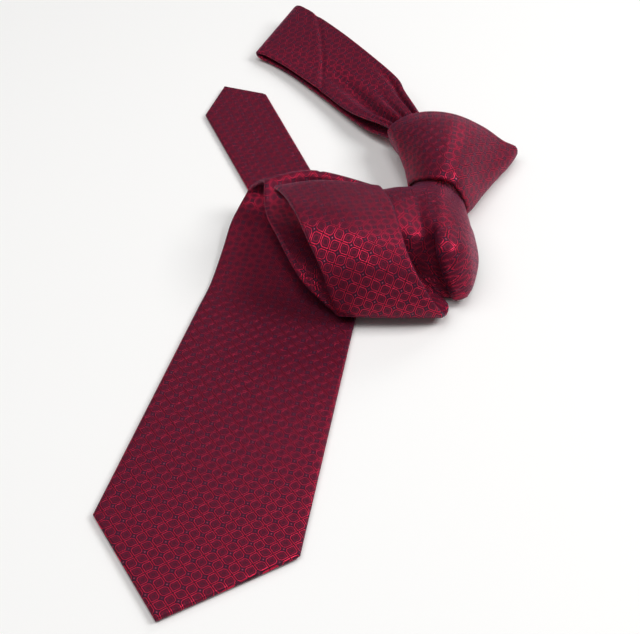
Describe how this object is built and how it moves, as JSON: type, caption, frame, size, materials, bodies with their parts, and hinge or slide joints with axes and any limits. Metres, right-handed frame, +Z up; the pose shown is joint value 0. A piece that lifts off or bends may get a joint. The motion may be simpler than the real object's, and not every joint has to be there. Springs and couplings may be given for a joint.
{
  "type": "necktie",
  "caption": "Knotted necktie laid out on a table: pointed front blade, loose roll, knot, flattened neck loop and pointed tail.",
  "frame": {"origin": "on the table, at the underside of the blade's middle line where it runs in below the roll", "axes": "+Z up from the table; +Y along the length of the layout, from the blade's point towards the neck loop; +X to the right, towards the knot"},
  "size_m": [0.1815, 0.404, 0.0405],
  "materials": {
    "tie_silk": "jacquard silk, burgundy with a navy ground, soft sheen",
    "interlining_wool": "brushed wool interlining, matt",
    "tipping_satin": "plain satin lining, soft sheen",
    "stitch_thread": "twisted sewing thread, matt"
  },
  "bodies": {
    "tied": {"roll_shell": "tie_silk", "roll_interlining": "interlining_wool", "lead_shell": "tie_silk", "lead_interlining": "interlining_wool", "knot_wrap": "tie_silk", "knot_core": "interlining_wool", "tail_slack": "tie_silk"},
    "blade": {"blade_shell": "tie_silk", "blade_interlining": "interlining_wool", "blade_tipping": "tipping_satin", "blade_slip_stitch": "stitch_thread", "blade_bar_tack": "stitch_thread", "keeper_loop": "tie_silk"},
    "neck_root": {"neck_root_shell": "tie_silk", "neck_root_interlining": "interlining_wool"},
    "neck_loop": {"neck_shell": "tie_silk", "neck_interlining": "interlining_wool", "neck_join_seam": "stitch_thread"},
    "tail_root": {"tail_root_shell": "tie_silk", "tail_root_interlining": "interlining_wool"},
    "tail": {"tail_shell": "tie_silk", "tail_interlining": "interlining_wool", "tail_tipping": "tipping_satin", "tail_slip_stitch": "stitch_thread", "tail_bar_tack": "stitch_thread"}
  },
  "joints": [
    {"name": "blade_lift", "type": "hinge", "parent": "tied", "child": "blade", "pos_m": [-0.00371, -0.01659, 0.003], "axis": [-0.9759, 0.2181, 0], "range_deg": [0, 40]},
    {"name": "tail_pull", "type": "slide", "parent": "tied", "child": "tail_root", "axis": [-0.3453, 0.9385, 0], "range_m": [-0.007, 0.02]},
    {"name": "tail_lift", "type": "hinge", "parent": "tail_root", "child": "tail", "pos_m": [-0.00301, 0.12268, 0.003], "axis": [0.9385, 0.3453, 0], "range_deg": [0, 40]},
    {"name": "neck_slide", "type": "slide", "parent": "tied", "child": "neck_root", "axis": [0.5239, -0.8518, 0], "range_m": [-0.0036, 0.0101]},
    {"name": "neck_lift", "type": "hinge", "parent": "neck_root", "child": "neck_loop", "pos_m": [0.05421, 0.15472, 0.016], "axis": [0.8518, 0.5239, 0], "range_deg": [0, 45]}
  ],
  "couplings": [
    {"joint": "neck_slide", "follows": "tail_pull", "ratio": 0.5}
  ]
}
